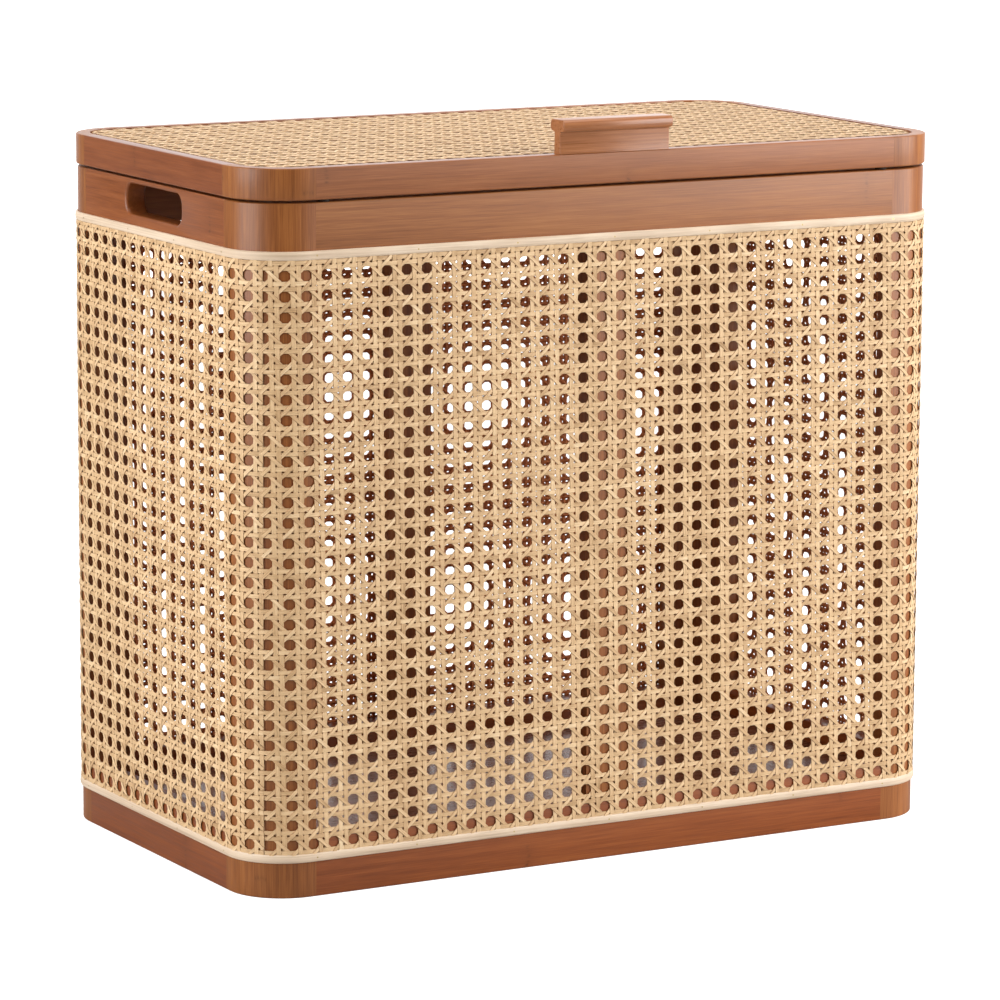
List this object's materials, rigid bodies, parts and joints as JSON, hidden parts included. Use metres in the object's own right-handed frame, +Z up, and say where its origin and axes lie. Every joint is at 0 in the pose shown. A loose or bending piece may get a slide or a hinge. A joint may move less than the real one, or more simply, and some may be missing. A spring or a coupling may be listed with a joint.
{
  "type": "laundry hamper",
  "caption": "Tall rectangular laundry hamper with round upright corners, a wooden frame, woven cane walls, side hand slots and a hinged lid with a T-shaped pull.",
  "frame": {"origin": "on the floor under the middle of the body", "axes": "+X across the width, +Y from front to back, +Z up"},
  "size_m": [0.562, 0.3244, 0.5265],
  "materials": {
    "bamboo_rail": "satin lacquer, grain along the rail",
    "bamboo_upright": "satin lacquer, upright grain",
    "bamboo_board": "lacquered board",
    "cane": "woven natural cane webbing",
    "bead": "pale reed bead",
    "brass": "brushed",
    "steel": "brushed",
    "bumper": "matt"
  },
  "bodies": {
    "body": {"corner_post_fl": "bamboo_upright", "corner_post_fr": "bamboo_upright", "corner_post_bl": "bamboo_upright", "corner_post_br": "bamboo_upright", "bottom_rail_front": "bamboo_rail", "bottom_rail_back": "bamboo_rail", "bottom_rail_left": "bamboo_rail", "bottom_rail_right": "bamboo_rail", "top_rail_front": "bamboo_rail", "top_rail_back": "bamboo_rail", "top_rail_left": "bamboo_rail", "top_rail_right": "bamboo_rail", "mid_post_front": "bamboo_upright", "mid_post_back": "bamboo_upright", "floor_board": "bamboo_board", "cane_wrap": "cane", "bead_lower": "bead", "bead_upper": "bead", "brads": "brass", "leaf_body_left": "brass", "leaf_body_right": "brass", "hinge_pin_left": "steel", "hinge_pin_right": "steel", "screws_body": "steel"},
    "lid": {"lid_corner_fl": "bamboo_upright", "lid_corner_fr": "bamboo_upright", "lid_corner_bl": "bamboo_upright", "lid_corner_br": "bamboo_upright", "lid_rail_front": "bamboo_rail", "lid_rail_back": "bamboo_rail", "lid_rail_left": "bamboo_rail", "lid_rail_right": "bamboo_rail", "lid_board": "bamboo_board", "lid_cane": "cane", "lid_bumpers": "bumper", "pull": "bamboo_rail", "screws_pull": "steel", "leaf_lid_left": "brass", "leaf_lid_right": "brass", "screws_lid": "steel"}
  },
  "joints": [
    {"name": "lid_hinge", "type": "hinge", "parent": "body", "child": "lid", "pos_m": [0, 0.15975, 0.47985], "axis": [-1, 0, 0], "range_deg": [0, 100]}
  ]
}
